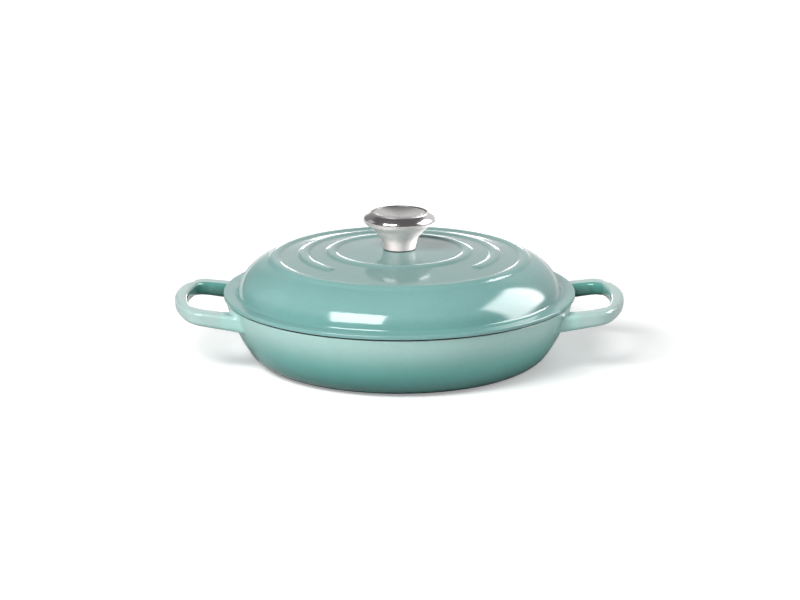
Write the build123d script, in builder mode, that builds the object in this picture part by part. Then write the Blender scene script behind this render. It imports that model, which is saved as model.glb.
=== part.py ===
from build123d import *
import math
import os

os.makedirs("parts", exist_ok=True)

# Shallow round braiser of cast iron with a domed lid and a hollow steel knob.
# Millimetres, +Z up. The origin is the centre of the pot's foot, on the ground.
# +X points along the two loop handles, and -Y is the front, where one ridge is open.

# Pot bowl
pot_height = 51.0
rim_radius = 135.3
wall_spread = 36.3
corner_radius = 22.0
corner_sweep_angle = 55.0
wall_thickness = 3.9
floor_thickness = 4.4
rim_round = 1.2
rim_inner_round = 0.6
foot_ring_width = 12.0
foot_recess_depth = 0.7

# Loop handles
handle_length = 39.0
handle_end_radius = 100.0
handle_end_width = 53.7
handle_arm_width = 55.3
handle_root_width = 66.0
handle_flare_inset = 7.5
handle_root_sink = 13.3
handle_corner_radius = 16.0
handle_end_band = 10.0
handle_arm_band = 13.8
hole_end_radius = 120.0
hole_corner_radius = 13.0
handle_end_rise = 1.4
handle_root_drop = 6.8
handle_end_height = 9.8
handle_root_height = 13.3
handle_round = 3.0
handle_root_blend = 3.0

# Lid
flange_overhang = 1.2
flange_thickness = 3.1
flange_top_round = 1.1
flange_bottom_round = 0.7
flange_width = 10.0
dome_foot_blend = 2.4
dome_slope_width = 31.0
crown_rise = 32.7
crown_radius = 730.0
knob_seat_radius = 13.5
lid_thickness = 3.8
lid_inner_shoulder_inset = 2.5
lip_drop = 3.4
lip_thickness = 4.6
lip_clearance = 1.7
lug_count = 3
lug_width = 14.0
lug_drop = 1.8
lug_setback = 0.5

# Ridges on the crown, and the gap at the front of the middle one
outer_ridge_offset = 0.5
ridge_pitch = 22.0
ridge_tube = 7.2
ridge_rise = 1.6
ridge_blend = 3.5
ridge_foot_angle = 6.0
ridge_skirt = 1.2
gap_left_angle = 46.0
gap_right_angle = 53.0

# Knob shell and its dished top
knob_foot_radius = 12.1
knob_neck_radius = 14.0
knob_neck_height = 7.9
knob_flare_shares = [(0.29, 0.376), (0.612, 0.678), (0.892, 0.859)]
knob_crease_radius = 27.9
knob_crease_height = 22.8
knob_crown_shares = [(0.065, 0.33), (0.34, 0.61)]
knob_rim_radius = 21.7
knob_height = 29.5
knob_wall = 1.0
knob_ledge_width = 1.5
dish_radius = 20.3
dish_depth = 2.8
dish_thickness = 1.0
dish_rim_inset = 0.5
knob_rim_round = 0.55
press_clearance = 0.04

# Knob base plate and threaded insert
base_plate_thickness = 2.6
insert_spigot_radius = 4.6
insert_collar_radius = 6.0
insert_height = 13.0
insert_chamfer = 0.8
thread_radius = 3.0
thread_clearance = 0.03

# Screw and split washer under the lid
screw_hole_clearance = 0.5
screw_reach = 11.0
screw_tip_chamfer = 0.7
screw_head_radius = 6.2
screw_head_height = 3.4
screw_head_round = 1.6
drive_slot_length = 7.0
drive_slot_width = 1.3
drive_slot_depth = 1.7
washer_radius = 5.7
washer_thickness = 1.4
washer_clearance = 0.25
washer_split = 1.0
under_seat_radius = 9.0

# One overrun serves every cut
overrun = 2.0

# Sizes and places that follow from the sizes above
foot_radius = rim_radius - wall_spread
handle_reach = rim_radius + handle_length
handle_root_reach = math.sqrt((rim_radius - handle_root_sink) ** 2 - handle_root_width**2)
handle_flare_reach = rim_radius - handle_flare_inset
flange_radius = rim_radius + flange_overhang
dome_foot_radius = flange_radius - flange_width
shoulder_radius = dome_foot_radius - dome_slope_width
lid_inner_shoulder_radius = shoulder_radius - lid_inner_shoulder_inset
outer_ridge_radius = shoulder_radius + outer_ridge_offset
open_ridge_radius = outer_ridge_radius - ridge_pitch
inner_ridge_radius = open_ridge_radius - ridge_pitch
flange_top = pot_height + flange_thickness
seat_height = flange_top + crown_rise
under_seat_height = seat_height - lid_thickness
washer_bottom = under_seat_height - washer_thickness
rim_inner_radius = rim_radius - wall_thickness
lip_outer_radius = rim_inner_radius - lip_clearance
lip_inner_radius = lip_outer_radius - lip_thickness
screw_hole_radius = thread_radius + screw_hole_clearance
bore_radius = thread_radius + thread_clearance


def sphere_height(radius, start_radius, start_height, at_radius):
    """Height at a radius of a crown that passes through a start point and is centred on the axis."""
    centre = start_height - math.sqrt(radius**2 - start_radius**2)
    return centre + math.sqrt(radius**2 - at_radius**2)


def crown_height(at_radius):
    """Height of the lid's outer crown at a radius."""
    return sphere_height(crown_radius, knob_seat_radius, seat_height, at_radius)


def bowl_outline(foot, bottom, corner, rim, top):
    """Draw a bowl's half section: floor, round corner, and one long arc up to the rim."""
    floor_line = Line((0, bottom), (foot, bottom))
    corner_arc = JernArc(start=floor_line @ 1, tangent=(1, 0), radius=corner, arc_size=corner_sweep_angle)
    wall_arc = TangentArc(corner_arc @ 1, (rim, top), tangent=corner_arc % 1)
    Line(wall_arc @ 1, (0, top))
    Line((0, top), (0, bottom))


def knob_outline(inset, top):
    """Draw the knob's half section from foot to rim, moved in by a wall and closed at a top."""
    neck = Line((knob_foot_radius - inset, 0), (knob_neck_radius - inset, knob_neck_height))
    flare_width = knob_crease_radius - knob_neck_radius
    flare_rise = knob_crease_height - knob_neck_height
    flare_points = [
        neck @ 1 + Vector(out_share * flare_width, up_share * flare_rise + inset / 2)
        for out_share, up_share in knob_flare_shares
    ]
    crease = Vector(knob_crease_radius - inset, knob_crease_height)
    crease_direction = crease - flare_points[-1]
    flare = Spline(neck @ 1, *flare_points, crease, tangents=[neck % 1, crease_direction])
    crown_width = knob_crease_radius - knob_rim_radius
    crown_rise = top - knob_crease_height
    crown_points = [
        crease + Vector(-in_share * crown_width, up_share * crown_rise)
        for in_share, up_share in knob_crown_shares
    ]
    crown = Spline(crease, *crown_points, (knob_rim_radius - inset, top))
    Polyline(crown @ 1, (0, top), (0, 0), neck @ 0)


def handle_end(reach, end_radius, end_width):
    """Draw the broad arc at the far end of a loop's plan outline."""
    end_drop = end_radius - math.sqrt(end_radius**2 - end_width**2)
    return ThreePointArc((reach - end_drop, -end_width), (reach, 0), (reach - end_drop, end_width))


def handle_arm(start, side):
    """Draw an outer arm from the end arc: straight, then flared to meet the bowl."""
    arm = Line(start, (handle_flare_reach, side * handle_arm_width))
    return TangentArc(arm @ 1, (handle_root_reach, side * handle_root_width), tangent=arm % 1)


# The pot is one casting: bowl and both loop handles
handle_end_top = pot_height + handle_end_rise
handle_root_top = pot_height - handle_root_drop
handle_blank_height = handle_end_top + overrun

with BuildPart() as handle_loop:
    with BuildSketch(Plane.XY) as handle_plan:
        with BuildLine():
            outer_end = handle_end(handle_reach, handle_end_radius, handle_end_width)
            left_root = handle_arm(outer_end @ 1, 1)
            right_root = handle_arm(outer_end @ 0, -1)
            Line(left_root @ 1, right_root @ 1)
        make_face()
        outer_corners = handle_plan.vertices().group_by(Axis.X)[-1]
        fillet(outer_corners, handle_corner_radius)
    extrude(amount=handle_blank_height)
    with BuildSketch(Plane.XY) as hole_plan:
        with BuildLine():
            hole_end = handle_end(
                handle_reach - handle_end_band,
                hole_end_radius,
                handle_end_width - handle_arm_band,
            )
            hole_root_width = handle_arm_width - handle_arm_band
            Polyline(
                hole_end @ 1,
                (handle_root_reach, hole_root_width),
                (handle_root_reach, -hole_root_width),
                hole_end @ 0,
            )
        make_face()
        hole_corners = hole_plan.vertices().group_by(Axis.X)[-1]
        fillet(hole_corners, hole_corner_radius)
    extrude(amount=handle_blank_height, mode=Mode.SUBTRACT)
    with BuildSketch(Plane.XZ):
        with BuildLine():
            top_edge = Line((handle_reach + overrun, handle_end_top), (handle_root_reach, handle_root_top))
            bottom_edge = Line(
                (handle_reach + overrun, handle_end_top - handle_end_height),
                (handle_root_reach, handle_root_top - handle_root_height),
            )
            Line(top_edge @ 0, bottom_edge @ 0)
            Line(top_edge @ 1, bottom_edge @ 1)
        make_face()
    extrude(amount=handle_root_width + overrun, both=True, mode=Mode.INTERSECT)
    long_edges = handle_loop.edges().filter_by(Axis.Z, reverse=True).group_by(Axis.X)[1:]
    fillet([edge for group in long_edges for edge in group], handle_round)

with BuildPart() as pot:
    with BuildSketch(Plane.XZ) as bowl_section:
        with BuildLine():
            bowl_outline(foot_radius, 0, corner_radius, rim_radius, pot_height)
        make_face()
        rim_corner = bowl_section.vertices().sort_by_distance((rim_radius, pot_height))[0]
        fillet(rim_corner, rim_round)
    revolve(axis=Axis.Z)
    add(handle_loop.part)
    fillet(pot.edges(Select.NEW), handle_root_blend)
    mirror(handle_loop.part, about=Plane.YZ)
    fillet(pot.edges(Select.NEW), handle_root_blend)
    with BuildSketch(Plane.XZ):
        with BuildLine():
            bowl_outline(
                foot_radius,
                floor_thickness,
                corner_radius - wall_thickness,
                rim_inner_radius,
                pot_height,
            )
        make_face()
    revolve(axis=Axis.Z, mode=Mode.SUBTRACT)
    with BuildSketch(Plane.XY):
        Circle(foot_radius - foot_ring_width)
    extrude(amount=foot_recess_depth, mode=Mode.SUBTRACT)
    fillet(pot.edges().sort_by_distance((0, rim_inner_radius, pot_height))[0], rim_inner_round)
pot.part.label = "pot"
export_step(pot.part, "parts/pot.step")

# The lid is one casting: dome, flange, locating lip, lugs, and three ridges on the crown
lip_bottom = pot_height - lip_drop
lug_bottom = lip_bottom - lug_drop
shoulder_height = crown_height(shoulder_radius)
inner_shoulder_height = sphere_height(
    crown_radius - lid_thickness,
    under_seat_radius,
    under_seat_height,
    lid_inner_shoulder_radius,
)


def ridge_half(side):
    """Draw one side of a ridge's section: crest arc, blend arc, and a skirt that sinks into the crown."""
    centre_drop = ridge_tube - ridge_rise
    spread = math.sqrt((ridge_tube + ridge_blend) ** 2 - (ridge_blend + centre_drop) ** 2)
    crest_share = ridge_tube / (ridge_tube + ridge_blend)
    turn_over = (side * spread * crest_share, (ridge_blend + centre_drop) * crest_share - centre_drop)
    foot_angle = math.radians(ridge_foot_angle)
    foot_reach = spread - ridge_blend * math.sin(foot_angle)
    foot_height = ridge_blend - ridge_blend * math.cos(foot_angle)
    skirt_reach = spread + ridge_blend
    skirt_height = foot_height - (skirt_reach - foot_reach) * math.tan(foot_angle)
    crest = TangentArc((0, ridge_rise), turn_over, tangent=(side, 0))
    foot = TangentArc(crest @ 1, (side * foot_reach, foot_height), tangent=crest % 1)
    return Polyline(foot @ 1, (side * skirt_reach, skirt_height), (side * skirt_reach, -ridge_skirt))


def ridge_plane(radius, angle):
    """Plane across a ridge at an angle round the lid, square to the crown."""
    slope = math.asin(radius / crown_radius)
    around = math.radians(angle)
    radial = Vector(math.cos(around), math.sin(around), 0)
    along = radial * math.cos(slope) - Vector(0, 0, 1) * math.sin(slope)
    outward = radial * math.sin(slope) + Vector(0, 0, 1) * math.cos(slope)
    centre = radial * radius + Vector(0, 0, 1) * crown_height(radius)
    return Plane(origin=centre, x_dir=along, z_dir=along.cross(outward))


open_start = gap_right_angle - 90
open_turn = 360 - gap_left_angle - gap_right_angle

with BuildPart() as open_ridge:
    with BuildSketch(ridge_plane(open_ridge_radius, open_start)):
        with BuildLine():
            outer_side = ridge_half(1)
            inner_side = ridge_half(-1)
            Line(outer_side @ 1, inner_side @ 1)
        make_face()
    revolve(axis=Axis.Z, revolution_arc=open_turn)
    for end_angle, end_turn in ((open_start, -180), (open_start + open_turn, 180)):
        end_plane = ridge_plane(open_ridge_radius, end_angle)
        with BuildSketch(end_plane):
            with BuildLine():
                end_side = ridge_half(1)
                Polyline(end_side @ 1, (0, -ridge_skirt), (0, ridge_rise))
            make_face()
        revolve(axis=Axis(end_plane.origin, end_plane.y_dir), revolution_arc=end_turn)

with BuildPart() as lid:
    with BuildSketch(Plane.XZ):
        with BuildLine():
            seat = Line((0, seat_height), (knob_seat_radius, seat_height))
            crown = ThreePointArc(
                seat @ 1,
                (shoulder_radius / 2, crown_height(shoulder_radius / 2)),
                (shoulder_radius, shoulder_height),
            )
            shoulder = TangentArc(crown @ 1, (dome_foot_radius, flange_top), tangent=crown % 1)
            Polyline(
                shoulder @ 1,
                (flange_radius, flange_top),
                (flange_radius, pot_height),
                (lip_outer_radius, pot_height),
                (lip_outer_radius, lip_bottom),
                (0, lip_bottom),
                (0, seat_height),
            )
        make_face()
    revolve(axis=Axis.Z)
    fillet(lid.edges().sort_by_distance((0, dome_foot_radius, flange_top))[0], dome_foot_blend)
    fillet(lid.edges().sort_by_distance((0, flange_radius, flange_top))[0], flange_top_round)
    fillet(lid.edges().sort_by_distance((0, flange_radius, pot_height))[0], flange_bottom_round)
    for ridge_radius in (inner_ridge_radius, outer_ridge_radius):
        dome_edges = lid.edges()
        with Locations((0, 0, crown_height(ridge_radius) + ridge_rise - ridge_tube)):
            Torus(ridge_radius, ridge_tube)
        foot_edges = (lid.edges() - dome_edges).filter_by(lambda edge: edge.length > ridge_radius)
        fillet(foot_edges, ridge_blend)
    add(open_ridge.part)
    with BuildSketch(Plane.XY.offset(lug_bottom)):
        with PolarLocations(0, lug_count):
            Rectangle(lip_outer_radius, lug_width, align=(Align.MIN, Align.CENTER))
        Circle(lip_outer_radius - lug_setback, mode=Mode.INTERSECT)
    extrude(amount=lug_drop)
    with BuildSketch(Plane.XZ):
        with BuildLine():
            under_seat = Line((0, under_seat_height), (under_seat_radius, under_seat_height))
            mid_radius = (under_seat_radius + lid_inner_shoulder_radius) / 2
            mid_height = sphere_height(
                crown_radius - lid_thickness,
                under_seat_radius,
                under_seat_height,
                mid_radius,
            )
            inner_crown = ThreePointArc(
                under_seat @ 1,
                (mid_radius, mid_height),
                (lid_inner_shoulder_radius, inner_shoulder_height),
            )
            inner_wall = TangentArc(
                inner_crown @ 1,
                (lip_inner_radius, lip_bottom),
                tangent=inner_crown % 1,
            )
            Polyline(
                inner_wall @ 1,
                (lip_inner_radius, lug_bottom - overrun),
                (0, lug_bottom - overrun),
                (0, under_seat_height),
            )
        make_face()
    revolve(axis=Axis.Z, mode=Mode.SUBTRACT)
    with Locations((0, 0, under_seat_height - overrun)):
        Cylinder(
            screw_hole_radius,
            lid_thickness + 2 * overrun,
            align=(Align.CENTER, Align.CENTER, Align.MIN),
            mode=Mode.SUBTRACT,
        )
lid.part.label = "lid"
export_step(lid.part, "parts/lid.step")

# The knob's shell is a hollow pressing: neck, flared underside, polished head and open rim
dish_rim_height = knob_height - dish_rim_inset
ledge_height = dish_rim_height - dish_thickness
recess_radius = dish_radius + press_clearance
plate_radius = knob_foot_radius - knob_wall - press_clearance
knob_base = Plane.XY.offset(seat_height)
knob_section = Plane(origin=(0, 0, seat_height), x_dir=(1, 0, 0), z_dir=(0, -1, 0))

with BuildPart() as knob_shell:
    with BuildSketch(knob_section):
        with BuildLine():
            knob_outline(0, knob_height)
        make_face()
    revolve(axis=Axis.Z)
    with BuildSketch(knob_section):
        with BuildLine():
            knob_outline(knob_wall, ledge_height - knob_wall)
        make_face()
    revolve(axis=Axis.Z, mode=Mode.SUBTRACT)
    with BuildSketch(knob_base.offset(ledge_height)):
        Circle(recess_radius)
    extrude(amount=knob_height, mode=Mode.SUBTRACT)
    with BuildSketch(knob_base.offset(ledge_height - knob_wall - overrun)):
        Circle(recess_radius - knob_ledge_width)
    extrude(amount=knob_height, mode=Mode.SUBTRACT)
    rim_edges = knob_shell.edges().filter_by(GeomType.CIRCLE).group_by(Axis.Z)[-1]
    fillet(rim_edges, knob_rim_round)
knob_shell.part.label = "knob_shell"
export_step(knob_shell.part, "parts/knob_shell.step")

# The dish closes the shell's top: a flat edge on the ledge, and a hollow that a thumb finds
with BuildPart() as knob_dish:
    with BuildSketch(knob_section):
        with BuildLine():
            flat_start = dish_radius - knob_ledge_width
            bowl_top = ThreePointArc(
                (-flat_start, dish_rim_height),
                (0, dish_rim_height - dish_depth),
                (flat_start, dish_rim_height),
            )
            Polyline(
                bowl_top @ 1,
                (dish_radius, dish_rim_height),
                (dish_radius, ledge_height),
                (flat_start, ledge_height),
            )
            ThreePointArc(
                (flat_start, ledge_height),
                (0, ledge_height - dish_depth),
                (-flat_start, ledge_height),
            )
            Polyline(
                (-flat_start, ledge_height),
                (-dish_radius, ledge_height),
                (-dish_radius, dish_rim_height),
                bowl_top @ 0,
            )
        make_face()
        split(bisect_by=Plane.YZ)
    revolve(axis=Axis.Z)
knob_dish.part.label = "knob_dish"
export_step(knob_dish.part, "parts/knob_dish.step")

# The base plate closes the shell's foot and carries the threaded insert
with BuildPart() as knob_base_plate:
    with BuildSketch(knob_base):
        Circle(plate_radius)
        Circle(insert_spigot_radius + press_clearance, mode=Mode.SUBTRACT)
    extrude(amount=base_plate_thickness)
knob_base_plate.part.label = "knob_base_plate"
export_step(knob_base_plate.part, "parts/knob_base_plate.step")

with BuildPart() as knob_insert:
    with BuildSketch(knob_base):
        Circle(insert_spigot_radius)
        Circle(bore_radius, mode=Mode.SUBTRACT)
    extrude(amount=base_plate_thickness)
    with BuildSketch(knob_base.offset(base_plate_thickness)):
        Circle(insert_collar_radius)
        Circle(bore_radius, mode=Mode.SUBTRACT)
    extrude(amount=insert_height - base_plate_thickness)
    top_edges = knob_insert.edges().filter_by(GeomType.CIRCLE).group_by(Axis.Z)[-1]
    chamfer(top_edges.sort_by(SortBy.RADIUS)[-1], insert_chamfer)
knob_insert.part.label = "knob_insert"
export_step(knob_insert.part, "parts/knob_insert.step")

# The screw comes up from under the lid, through a split washer
with BuildPart() as split_washer:
    with BuildSketch(Plane.XY.offset(washer_bottom)):
        Circle(washer_radius)
        Circle(thread_radius + washer_clearance, mode=Mode.SUBTRACT)
        Rectangle(
            washer_radius + overrun,
            washer_split,
            align=(Align.MIN, Align.CENTER),
            mode=Mode.SUBTRACT,
        )
    extrude(amount=washer_thickness)
split_washer.part.label = "split_washer"
export_step(split_washer.part, "parts/split_washer.step")

with BuildPart() as knob_screw:
    with BuildSketch(Plane.XY.offset(washer_bottom - screw_head_height)):
        Circle(screw_head_radius)
    extrude(amount=screw_head_height)
    fillet(knob_screw.edges().group_by(Axis.Z)[0], screw_head_round)
    with BuildSketch(Plane.XY.offset(washer_bottom)):
        Circle(thread_radius)
    extrude(amount=seat_height + screw_reach - washer_bottom)
    chamfer(knob_screw.edges().group_by(Axis.Z)[-1], screw_tip_chamfer)
    with BuildSketch(Plane.XY.offset(washer_bottom - screw_head_height)):
        Rectangle(drive_slot_length, drive_slot_width)
        Rectangle(drive_slot_width, drive_slot_length)
    extrude(amount=drive_slot_depth, mode=Mode.SUBTRACT)
knob_screw.part.label = "knob_screw"
export_step(knob_screw.part, "parts/knob_screw.step")
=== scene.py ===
import math

import bpy
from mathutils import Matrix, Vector

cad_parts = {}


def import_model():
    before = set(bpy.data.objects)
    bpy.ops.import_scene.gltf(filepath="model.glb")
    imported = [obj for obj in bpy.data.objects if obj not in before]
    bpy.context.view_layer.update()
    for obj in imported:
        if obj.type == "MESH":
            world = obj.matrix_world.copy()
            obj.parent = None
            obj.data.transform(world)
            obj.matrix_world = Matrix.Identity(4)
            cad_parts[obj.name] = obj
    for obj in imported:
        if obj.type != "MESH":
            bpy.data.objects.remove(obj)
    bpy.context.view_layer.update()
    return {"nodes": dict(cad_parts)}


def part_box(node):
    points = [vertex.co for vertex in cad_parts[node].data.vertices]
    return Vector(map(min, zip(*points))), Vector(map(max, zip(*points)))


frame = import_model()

# The looks of a round enamelled braiser: two castings in gloss enamel, and a steel knob.
# Every shown piece is a CAD node with a procedural material. Metres, in the frame's axes.
#
# A pair of numbers that is named ..._FADE says where a mask is 0 and where it is 1.
# A pair that is named ..._RANGE says the lowest and the highest value of something that varies.

# Places on the object. Those that a node's box gives are read from the frame.
LID_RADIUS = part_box("lid")[1].x
SEAT_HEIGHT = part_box("knob_shell")[0].z
KNOB_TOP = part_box("knob_shell")[1].z
RIM_HEIGHT = 0.051

# Pot: the middle of the bowl's wall, whose radius falls with the depth below the rim by
# slope times depth and curve times depth squared. Inwards of it the enamel is cream.
WALL_MID_RADIUS = 0.13335
WALL_SLOPE = 0.3203
WALL_CURVE = 2.83
WITHIN_WALL_FADE = (0.0004, -0.0004)
FACING_UP_FADE = (-0.05, 0.05)

# Pot: the black band on the rim
RIM_BAND_HEIGHT_FADE = (0.0496, 0.0500)
RIM_BAND_RADIUS_FADE = (0.1358, 0.1354)

# Pot: heights over which its colour grows lighter. Darker towards the foot: partly the glaze's
# own gradient, partly painted shade where the floor's shadow falls
FOOT_FADE = (-0.004, 0.024)
FLANK_FADE = (0.018, 0.046)

# Loops: where they start, their opening's centre, how far a face turns to that centre, and the
# heights and share of the painted shade on their inward faces
LOOP_START_FADE = (LID_RADIUS - 0.003, LID_RADIUS + 0.002)
LOOP_CENTRE = 0.150
LOOP_INWARD_FADE = (0.010, 0.020)
LOOP_HEIGHT_FADE = (0.0375, 0.0500)
LOOP_SHADE_SHARE = 0.95

# Lid: the crown's sphere, the raised ridges on it, and the groove where the flange begins
CROWN_RADIUS = 0.730
CROWN_CENTRE = SEAT_HEIGHT - CROWN_RADIUS
CROWN_FADE = (0.1015, 0.0915)
# The crests are painted lighter: thinner enamel there, and a painted highlight
CREST_FADE = (0.0007, 0.0016)
CREST_SHARE = 0.15
# The groove gets a darker band: thicker enamel there, and painted shade of the crease
GROOVE_RADIUS = 0.1260
GROOVE_HALF_WIDTH = 0.0012
GROOVE_SOFT_EDGE = 0.0035
GROOVE_SHARE = 0.35

# Lid: the underside, cream as far as the lip, then the black seat
LIP_FADE = (0.1296, 0.1298)
SEAT_LINE_FADE = (0.05095, 0.05085)
FACING_DOWN_FADE = (-0.2, -0.3)
SEAT_FACING_FADE = (-0.7, -0.9)

# Knob: the crease under its head, the painted shadow at its foot where it sits on the lid, and
# the inner edge of its rim, painted in shade
CREASE_HEIGHT = SEAT_HEIGHT + 0.0228
CREASE_FADE = (CREASE_HEIGHT - 0.00012, CREASE_HEIGHT + 0.00012)
FOOT_SHADOW_FADE = (0.00091, 0.00056)
RIM_FADE = (KNOB_TOP - 0.0010, KNOB_TOP - 0.0005)
INNER_EDGE_FADE = (0.0214, 0.0211)
INNER_EDGE_SHARE = 0.75

# Enamel colours, linear
POT_LIGHT = (0.395, 0.615, 0.575)
POT_MIDDLE = (0.125, 0.385, 0.350)
# Near the foot: the glaze's deep colour with painted shade
POT_FOOT_GLAZE_AND_SHADE = (0.008, 0.075, 0.066)
LOOP_LIGHT = (0.400, 0.555, 0.525)
# Painted shade on the loops' inward faces: lighter high up, deeper low down
LOOP_SHADE = (0.100, 0.330, 0.285)
LOOP_DEEP_SHADE = (0.005, 0.055, 0.042)
LID_COLOUR = (0.185, 0.368, 0.350)
# The crown is painted greyer and darker than the slopes: painted sheen and shade of the top
LID_CROWN_SHEEN_AND_SHADE = (0.190, 0.322, 0.303)
LID_GROOVE_POOL_AND_SHADE = (0.090, 0.270, 0.250)
CREAM = (0.800, 0.740, 0.610)
SEAT_BLACK = (0.022, 0.022, 0.023)

# Enamel surface: sizes of its noises, what they change, and the depths of its bumps
DRIFT_SIZE = 0.045
DRIFT_RANGE = (0.965, 1.035)
SPECKLE_SIZE = 0.0035
SPECKLE_RANGE = (0.985, 1.015)
ENAMEL_ROUGHNESS = 0.10
GLOSS_SIZE = 0.012
GLOSS_RANGE = (ENAMEL_ROUGHNESS * 0.8, ENAMEL_ROUGHNESS * 1.25)
SEAT_ROUGHNESS = 0.55
ENAMEL_IOR = 1.5
WAVE_SIZE = 0.018
WAVE_DEPTH = 0.00003
PEEL_SIZE = 0.0026
PEEL_DEPTH = 0.000006
GRAIN_SIZE = 0.0006
GRAIN_DEPTH = 0.00002

# Steel colours, linear
STEEL_HEAD = (0.620, 0.600, 0.600)
# The neck's steel is painted lighter and pinker than the head's: painted light on the neck,
# which also offsets the lid's teal reflection
STEEL_NECK_LIT = (0.940, 0.880, 0.870)
STEEL_DISH = (0.520, 0.510, 0.505)
STEEL_PLATE = (0.500, 0.500, 0.500)
# Dark colour for painted shade and shadow on the steel
PAINTED_SHADE_DARK = (0.030, 0.032, 0.032)

# Steel surface: fine and coarse turned lines, smudges, roughness of each piece and place
FINE_LINE_SIZE = 0.00022
FINE_LINE_RANGE = (0.94, 1.05)
COARSE_LINE_SIZE = 0.0011
COARSE_LINE_RANGE = (0.93, 1.08)
COARSE_LINE_HEIGHT = 0.6
LINE_DEPTH = 0.000002
SMUDGE_SIZE = 0.009
SMUDGE_TONE_RANGE = (0.97, 1.03)
POLISHED_TONE_RANGE = (0.98, 1.02)
SMUDGE_ROUGHNESS_RANGE = (0.9, 1.12)
STRETCH = 0.6
STRETCH_TURN = 0.25
NECK_ROUGHNESS = 0.80
HEAD_ROUGHNESS = 0.16
RIM_ROUGHNESS = 0.50
DISH_ROUGHNESS = 0.26
PLATE_ROUGHNESS = 0.30
SCREW_ROUGHNESS = 0.24

# Noise lies mostly within this part of 0 to 1
NOISE_MIDDLE = (0.3, 0.7)


class Graph:
    """A node tree, with a short call for each kind of node that the looks share."""

    def __init__(self, tree):
        self.nodes = tree.nodes
        self.links = tree.links

    def node(self, kind, inputs=None, **settings):
        made = self.nodes.new(kind)
        for key, value in settings.items():
            setattr(made, key, value)
        for key, value in (inputs or {}).items():
            self.put(made.inputs[key], value)
        return made

    def put(self, socket, value):
        """Link a node's output to a socket, or set the socket to a number or a colour."""
        if isinstance(value, bpy.types.NodeSocket):
            self.links.new(value, socket)
        elif isinstance(value, tuple) and len(value) == 3 and socket.type == "RGBA":
            socket.default_value = (*value, 1)
        else:
            socket.default_value = value

    def split(self, vector):
        return self.node("ShaderNodeSeparateXYZ", {0: vector}).outputs

    def math(self, operation, first, second=0.0, third=0.0):
        inputs = {0: first, 1: second, 2: third}
        return self.node("ShaderNodeMath", inputs, operation=operation).outputs[0]

    def square(self, value):
        return self.math("MULTIPLY", value, value)

    def both(self, first, second):
        return self.math("MULTIPLY", first, second)

    def remap(self, value, start, end, low, high, **settings):
        """Carry a value from start..end to low..high, and keep it within them."""
        ends = {"From Min": start, "From Max": end, "To Min": low, "To Max": high}
        made = self.node("ShaderNodeMapRange", {"Value": value, **ends}, **settings)
        return made.outputs["Result"]

    def ease(self, value, start, end, low, high):
        """The same as remap, with a smooth start and end."""
        return self.remap(value, start, end, low, high, interpolation_type="SMOOTHSTEP")

    def step(self, value, none, full):
        """0 at none and beyond it, 1 at full and beyond it, smooth between them."""
        return self.ease(value, none, full, 0.0, 1.0)

    def mix_value(self, share, first, second):
        inputs = {0: share, 2: first, 3: second}
        return self.node("ShaderNodeMix", inputs, data_type="FLOAT").outputs[0]


class Surface(Graph):
    """A CAD node's material, with the place, facing and radius that its masks are made from."""

    def __init__(self, name):
        self.material = bpy.data.materials.new(name)
        self.material.use_nodes = True
        super().__init__(self.material.node_tree)
        self.shader = self.nodes["Principled BSDF"]
        place = self.node("ShaderNodeTexCoord")
        self.place = place.outputs["Object"]
        self.x, self.y, self.z = self.split(self.place)
        self.facing_x, self.facing_y, self.up = self.split(place.outputs["Normal"])
        self.radius = self.length(self.x, self.y)

    def length(self, first, second):
        squares = self.math("ADD", self.square(first), self.square(second))
        return self.math("SQRT", squares)

    def band(self, value, middle, half_width, soft):
        """1 within a half width of a middle value, falling to 0 over a soft edge."""
        off = self.math("ABSOLUTE", self.math("SUBTRACT", value, middle))
        return self.step(off, half_width + soft, half_width)

    def mix(self, share, first, second):
        made = self.node("ShaderNodeMix", data_type="RGBA")
        self.put(made.inputs["Factor"], share)
        self.put(made.inputs[6], first)
        self.put(made.inputs[7], second)
        return made.outputs[2]

    def mix_normal(self, share, first, second):
        made = self.node("ShaderNodeMix", data_type="VECTOR")
        self.put(made.inputs["Factor"], share)
        self.put(made.inputs[4], first)
        self.put(made.inputs[5], second)
        return made.outputs[1]

    def noise(self, size, detail):
        """Noise whose features are about one size in metres, from 0 to 1."""
        inputs = {"Vector": self.place, "Scale": 1 / size, "Detail": detail, "Roughness": 0.5}
        return self.node("ShaderNodeTexNoise", inputs).outputs["Fac"]

    def rings(self, across, size):
        """Noise that changes only across the rings of a lathe, from 0 to 1."""
        inputs = {"W": across, "Scale": 1 / size, "Detail": 3.0, "Roughness": 0.7}
        return self.node("ShaderNodeTexNoise", inputs, noise_dimensions="1D").outputs["Fac"]

    def spread(self, noise, low, high):
        """Noise spread between two values, with its middle range used in full."""
        return self.remap(noise, *NOISE_MIDDLE, low, high)

    def brighten(self, colour, factor):
        inputs = {0: colour, "Scale": factor}
        return self.node("ShaderNodeVectorMath", inputs, operation="SCALE").outputs[0]

    def bump(self, height, depth, over=None):
        inputs = {"Height": height, "Distance": depth, "Strength": 1.0}
        if over is not None:
            inputs["Normal"] = over
        return self.node("ShaderNodeBump", inputs).outputs[0]

    def set(self, **sockets):
        for key, value in sockets.items():
            self.put(self.shader.inputs[key.replace("_", " ")], value)


class PotSurface(Surface):
    """Adds masks for the loop handles, and for their inward faces, where shade is painted in.
    """

    def on_loop(self):
        return self.step(self.math("ABSOLUTE", self.x), *LOOP_START_FADE)

    def loop_inside_shade(self):
        side = self.math("ABSOLUTE", self.x)
        inward_x = self.math("SUBTRACT", LOOP_CENTRE, side)
        outward = self.both(self.facing_x, self.math("SIGN", self.x))
        inward_y = self.math("MULTIPLY", self.y, -1.0)
        facing_in = self.math(
            "ADD", self.both(outward, inward_x), self.both(self.facing_y, inward_y)
        )
        return self.both(self.on_loop(), self.step(facing_in, *LOOP_INWARD_FADE))


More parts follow.
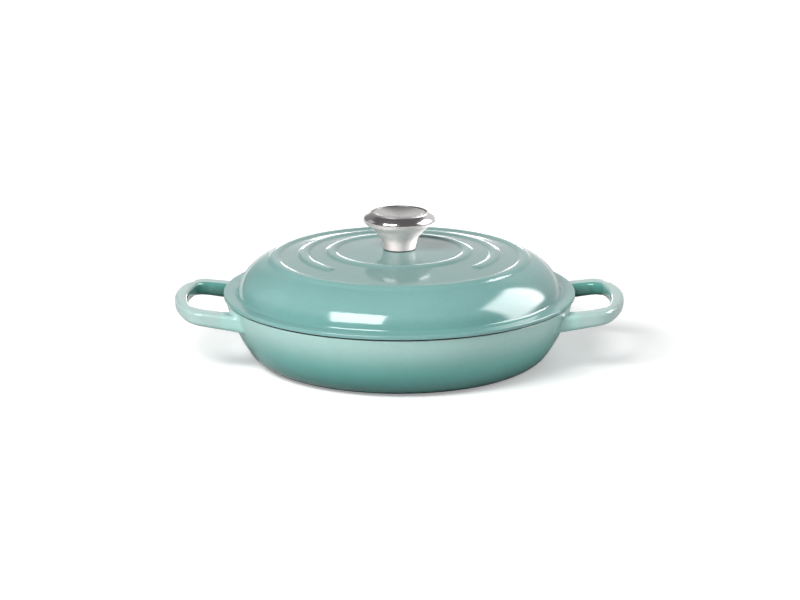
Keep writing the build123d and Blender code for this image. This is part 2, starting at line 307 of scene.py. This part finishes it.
def enamel_surface(graph, colour, inside, black):
    """Gloss enamel outside, cream inside, matt black where lid and pot meet, casting waves."""
    drift = graph.spread(graph.noise(DRIFT_SIZE, detail=3.0), *DRIFT_RANGE)
    speckle = graph.spread(graph.noise(SPECKLE_SIZE, detail=2.0), *SPECKLE_RANGE)
    coat = graph.mix(inside, colour, CREAM)
    coat = graph.mix(black, coat, SEAT_BLACK)
    graph.set(Base_Color=graph.brighten(coat, graph.both(drift, speckle)))
    gloss = graph.spread(graph.noise(GLOSS_SIZE, detail=3.0), *GLOSS_RANGE)
    graph.set(Roughness=graph.mix_value(black, gloss, SEAT_ROUGHNESS))
    graph.set(IOR=ENAMEL_IOR, Metallic=0.0)
    waves = graph.bump(graph.noise(WAVE_SIZE, detail=1.0), WAVE_DEPTH)
    peel = graph.bump(graph.noise(PEEL_SIZE, detail=1.0), PEEL_DEPTH, over=waves)
    grain = graph.bump(graph.noise(GRAIN_SIZE, detail=2.0), GRAIN_DEPTH, over=peel)
    graph.set(Normal=graph.mix_normal(black, peel, grain))
    return graph.material


def pot_enamel():
    graph = PotSurface("pot_enamel")
    depth = graph.math("SUBTRACT", RIM_HEIGHT, graph.z)
    fall = graph.math(
        "ADD", graph.both(depth, WALL_SLOPE), graph.both(graph.square(depth), WALL_CURVE)
    )
    wall = graph.math("SUBTRACT", WALL_MID_RADIUS, fall)
    within = graph.step(graph.math("SUBTRACT", graph.radius, wall), *WITHIN_WALL_FADE)
    inside = graph.both(within, graph.step(graph.up, *FACING_UP_FADE))
    black = graph.both(
        graph.step(graph.z, *RIM_BAND_HEIGHT_FADE),
        graph.step(graph.radius, *RIM_BAND_RADIUS_FADE),
    )
    # Darker towards the foot: the glaze's gradient with painted shade near the floor
    lower = graph.mix(graph.step(graph.z, *FOOT_FADE), POT_FOOT_GLAZE_AND_SHADE, POT_MIDDLE)
    upper = graph.mix(graph.on_loop(), POT_LIGHT, LOOP_LIGHT)
    colour = graph.mix(graph.step(graph.z, *FLANK_FADE), lower, upper)
    # Painted shade on the inward faces of the loops, darker low down
    shade = graph.mix(graph.step(graph.z, *LOOP_HEIGHT_FADE), LOOP_DEEP_SHADE, LOOP_SHADE)
    shaded = graph.both(graph.loop_inside_shade(), LOOP_SHADE_SHARE)
    colour = graph.mix(shaded, colour, shade)
    return enamel_surface(graph, colour, inside, black)


def lid_enamel():
    graph = Surface("lid_enamel")
    over_centre = graph.math("SUBTRACT", graph.z, CROWN_CENTRE)
    reach = graph.length(graph.radius, over_centre)
    ridge_height = graph.math("SUBTRACT", reach, CROWN_RADIUS)
    on_crown = graph.step(graph.radius, *CROWN_FADE)
    crest = graph.both(on_crown, graph.step(ridge_height, *CREST_FADE))
    groove = graph.band(graph.radius, GROOVE_RADIUS, GROOVE_HALF_WIDTH, GROOVE_SOFT_EDGE)
    # Painted sheen and shade on the crown
    colour = graph.mix(on_crown, LID_COLOUR, LID_CROWN_SHEEN_AND_SHADE)
    # Lighter crests: thinner enamel with a painted highlight
    colour = graph.mix(graph.both(crest, CREST_SHARE), colour, POT_LIGHT)
    # Darker band at the groove: thicker enamel with painted shade
    colour = graph.mix(graph.both(groove, GROOVE_SHARE), colour, LID_GROOVE_POOL_AND_SHADE)
    beyond_lip = graph.step(graph.radius, *LIP_FADE)
    below = graph.step(graph.z, *SEAT_LINE_FADE)
    under = graph.math("MAXIMUM", below, graph.step(graph.up, *FACING_DOWN_FADE))
    under = graph.both(under, graph.math("SUBTRACT", 1.0, beyond_lip))
    seat = graph.both(beyond_lip, graph.step(graph.up, *SEAT_FACING_FADE))
    return enamel_surface(graph, colour, under, seat)


def steel_surface(graph, colour, roughness, across, brushed):
    """Turned steel: fine rings round the axis, brushed where asked, with faint smudges."""
    lines = graph.rings(across, FINE_LINE_SIZE)
    coarse = graph.rings(across, COARSE_LINE_SIZE)
    smudge = graph.noise(SMUDGE_SIZE, detail=3.0)
    brushed_tone = graph.both(
        graph.spread(lines, *FINE_LINE_RANGE), graph.spread(smudge, *SMUDGE_TONE_RANGE)
    )
    polished_tone = graph.spread(smudge, *POLISHED_TONE_RANGE)
    tone = graph.mix_value(brushed, polished_tone, brushed_tone)
    graph.set(Base_Color=graph.brighten(colour, tone), Metallic=1.0)
    smudged = graph.both(roughness, graph.spread(smudge, *SMUDGE_ROUGHNESS_RANGE))
    graph.set(Roughness=graph.both(smudged, graph.spread(coarse, *COARSE_LINE_RANGE)))
    height = graph.math("ADD", lines, graph.both(coarse, COARSE_LINE_HEIGHT))
    graph.set(Normal=graph.bump(graph.both(height, brushed), LINE_DEPTH))
    around = graph.node("ShaderNodeTangent", direction_type="RADIAL", axis="Z").outputs[0]
    graph.set(Tangent=around, Anisotropic=STRETCH, Anisotropic_Rotation=STRETCH_TURN)
    return graph.material


def knob_steel():
    graph = Surface("knob_steel")
    head = graph.step(graph.z, *CREASE_FADE)
    above_lid = graph.math("SUBTRACT", graph.z, SEAT_HEIGHT)
    foot_shadow = graph.step(above_lid, *FOOT_SHADOW_FADE)
    rim = graph.step(graph.z, *RIM_FADE)
    inner_edge = graph.both(rim, graph.step(graph.radius, *INNER_EDGE_FADE))
    # The neck's lighter steel is painted light
    colour = graph.mix(head, STEEL_NECK_LIT, STEEL_HEAD)
    # Painted shadow at the foot, where the knob sits on the lid
    colour = graph.mix(foot_shadow, colour, PAINTED_SHADE_DARK)
    # Painted shade at the rim's inner edge, where it meets the dish
    colour = graph.mix(graph.both(inner_edge, INNER_EDGE_SHARE), colour, PAINTED_SHADE_DARK)
    polish = graph.mix_value(rim, HEAD_ROUGHNESS, RIM_ROUGHNESS)
    roughness = graph.mix_value(head, NECK_ROUGHNESS, polish)
    brushed = graph.math("SUBTRACT", 1.0, head)
    return steel_surface(graph, colour, roughness, graph.z, brushed)


def dish_steel():
    graph = Surface("dish_steel")
    return steel_surface(graph, STEEL_DISH, DISH_ROUGHNESS, graph.radius, 1.0)


def plain_steel(name, roughness):
    graph = Surface(name)
    across = graph.math("ADD", graph.radius, graph.z)
    return steel_surface(graph, STEEL_PLATE, roughness, across, 1.0)


def dress():
    """Give every CAD node its material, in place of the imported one."""
    plate = plain_steel("plate_steel", PLATE_ROUGHNESS)
    screw = plain_steel("screw_steel", SCREW_ROUGHNESS)
    dressing = {
        "pot": pot_enamel(),
        "lid": lid_enamel(),
        "knob_shell": knob_steel(),
        "knob_dish": dish_steel(),
        "knob_base_plate": plate,
        "knob_insert": plate,
        "knob_screw": screw,
        "split_washer": screw,
    }
    for name, material in dressing.items():
        for slot in frame["nodes"][name].material_slots:
            slot.material = material


# Studio: azimuth 0 is the front, and grows towards the right
STUDIO_CENTRE = Vector((0, 0, 0.055))
LAMP_FACTOR = 4.0

# Studio floor: its colour, how much less of it lights the object, and its glow for the camera
# and in reflections, which fades in with the distance from the object
FLOOR_SIZE = 12.0
FLOOR_MOTTLE_SCALE = 30.0
FLOOR_COLOUR_RANGE = (0.78, 0.84)
FLOOR_UNSEEN_SHARE = 0.8
FLOOR_GLOW_REACH = (0.20, 0.80)
FLOOR_GLOW_RANGE = (0.32, 1.0)
FLOOR_REFLECTED_FADE = (0.30, 1.40)

# Studio wall: a plain level all round, and more behind the object, low down, less at the left
WORLD_LEVEL = 0.20
WALL_LEVEL = 0.90
WALL_BEHIND_FADE = (-0.2, 0.5)
WALL_LOW_FADE = (0.72, 0.54)
WALL_SIDE_REACH = (-0.40, -0.12)
WALL_SIDE_RANGE = (0.20, 1.0)


def direction(azimuth, elevation):
    """The unit vector from the object towards an azimuth and an elevation in degrees."""
    around, rise = math.radians(azimuth), math.radians(elevation)
    level = math.cos(rise)
    return Vector((math.sin(around) * level, -math.cos(around) * level, math.sin(rise)))


def soften(lamp, share):
    """Let a lamp's light fade towards its four edges, over a share of its width and height."""
    lamp.use_nodes = True
    graph = Graph(lamp.node_tree)
    place = graph.node("ShaderNodeNewGeometry").outputs["Parametric"]
    across, along, _ = graph.split(place)
    edge_distances = [graph.math("PINGPONG", way, 0.5) for way in (across, along)]
    fades = [graph.step(distance, 0.0, share) for distance in edge_distances]
    graph.put(graph.nodes["Emission"].inputs["Strength"], graph.both(*fades))


def softbox(
    name,
    azimuth,
    elevation,
    distance,
    width,
    height,
    radiance,
    roll=0.0,
    lights=True,
    shines=True,
    soft=0.0,
):
    """A rectangular lamp of one radiance that faces the object from a direction."""
    lamp = bpy.data.lights.new(name, "AREA")
    lamp.shape = "RECTANGLE"
    lamp.size = width
    lamp.size_y = height
    lamp.energy = radiance * width * height * LAMP_FACTOR
    box = bpy.data.objects.new(name, lamp)
    bpy.context.scene.collection.objects.link(box)
    away = direction(azimuth, elevation)
    box.location = STUDIO_CENTRE + away * distance
    box.rotation_euler = away.to_track_quat("Z", "Y").to_euler()
    box.rotation_euler.rotate_axis("Z", math.radians(roll))
    box.visible_camera = False
    box.visible_diffuse = lights
    box.visible_glossy = shines
    if soft:
        soften(lamp, soft)


def lamps():
    """A key light at the front left, two fills, and two boxes that only show as reflections."""
    softbox(
        "front_left_box",
        azimuth=-34.5,
        elevation=42,
        distance=1.6,
        width=0.95,
        height=0.58,
        radiance=13.0,
        roll=10,
    )
    softbox(
        "right_window",
        azimuth=103,
        elevation=30,
        distance=1.6,
        width=1.52,
        height=1.24,
        radiance=8.2,
        lights=False,
        soft=0.16,
    )
    softbox(
        "left_box",
        azimuth=-112,
        elevation=24,
        distance=1.7,
        width=0.8,
        height=0.9,
        radiance=0.3,
    )
    softbox(
        "right_fill",
        azimuth=80,
        elevation=26,
        distance=1.8,
        width=0.9,
        height=0.9,
        radiance=2.8,
        shines=False,
    )
    softbox(
        "back_strip",
        azimuth=180,
        elevation=2.5,
        distance=2.2,
        width=0.80,
        height=0.20,
        radiance=4.0,
        lights=False,
    )


def floor_material():
    """Pale and slightly mottled. Away from the object it turns white, by a glow of its own."""
    material = bpy.data.materials.new("studio_floor")
    material.use_nodes = True
    material.node_tree.nodes.clear()
    graph = Graph(material.node_tree)
    path = graph.node("ShaderNodeLightPath").outputs
    mottle = graph.node("ShaderNodeTexNoise", {"Scale": FLOOR_MOTTLE_SCALE}).outputs["Fac"]
    colour = graph.both(
        graph.remap(mottle, 0.0, 1.0, *FLOOR_COLOUR_RANGE),
        graph.remap(path["Is Camera Ray"], 0.0, 1.0, FLOOR_UNSEEN_SHARE, 1.0),
    )
    place = graph.node("ShaderNodeTexCoord").outputs["Object"]
    length = graph.node("ShaderNodeVectorMath", {0: place}, operation="LENGTH")
    away = length.outputs["Value"]
    seen = graph.ease(away, *FLOOR_GLOW_REACH, *FLOOR_GLOW_RANGE)
    reflected = graph.both(path["Is Glossy Ray"], graph.step(away, *FLOOR_REFLECTED_FADE))
    strength = graph.math("MULTIPLY_ADD", path["Is Camera Ray"], seen, reflected)
    diffuse = graph.node("ShaderNodeBsdfDiffuse", {"Color": colour}).outputs[0]
    glow = graph.node("ShaderNodeEmission", {"Strength": strength}).outputs[0]
    surface = graph.node("ShaderNodeAddShader", {0: diffuse, 1: glow}).outputs[0]
    graph.node("ShaderNodeOutputMaterial", {"Surface": surface})
    return material


def floor():
    bpy.ops.mesh.primitive_plane_add(size=FLOOR_SIZE, location=(0, 0, 0))
    plane = bpy.context.object
    plane.name = "studio_floor"
    plane.data.materials.append(floor_material())


def world():
    """White for the camera, a plain grey fill for the object, lighter low behind it."""
    made = bpy.data.worlds.new("studio")
    made.use_nodes = True
    made.node_tree.nodes.clear()
    graph = Graph(made.node_tree)
    camera_ray = graph.node("ShaderNodeLightPath").outputs["Is Camera Ray"]
    x, y, z = graph.split(graph.node("ShaderNodeTexCoord").outputs["Generated"])
    wall = graph.both(graph.step(y, *WALL_BEHIND_FADE), graph.step(z, *WALL_LOW_FADE))
    side = graph.ease(x, *WALL_SIDE_REACH, *WALL_SIDE_RANGE)
    level = graph.math("MULTIPLY_ADD", graph.both(wall, side), WALL_LEVEL, WORLD_LEVEL)
    strength = graph.mix_value(camera_ray, level, 1.0)
    sky = graph.node("ShaderNodeBackground", {"Strength": strength}).outputs[0]
    graph.node("ShaderNodeOutputWorld", {"Surface": sky})
    bpy.context.scene.world = made


# Camera, fitted to the photograph's outlines
CAMERA_TARGET = Vector((0, 0, 0.0541))
CAMERA_DISTANCE = 2.2
CAMERA_ELEVATION = 14.56
CAMERA_AIM = Vector((0.0005, -0.0020, 0.0462))
CAMERA_LENS = 127.3
CAMERA_SENSOR_WIDTH = 36.0
CAMERA_CLIP_START = 0.05


def camera():
    data = bpy.data.cameras.new("camera")
    data.lens = CAMERA_LENS
    data.sensor_width = CAMERA_SENSOR_WIDTH
    data.sensor_fit = "HORIZONTAL"
    data.clip_start = CAMERA_CLIP_START
    eye = bpy.data.objects.new("camera", data)
    bpy.context.scene.collection.objects.link(eye)
    eye.location = CAMERA_TARGET + direction(0, CAMERA_ELEVATION) * CAMERA_DISTANCE
    eye.rotation_euler = (CAMERA_AIM - eye.location).to_track_quat("-Z", "Y").to_euler()
    bpy.context.scene.camera = eye


dress()
lamps()
floor()
world()
camera()
bpy.context.scene.view_settings.view_transform = "Standard"
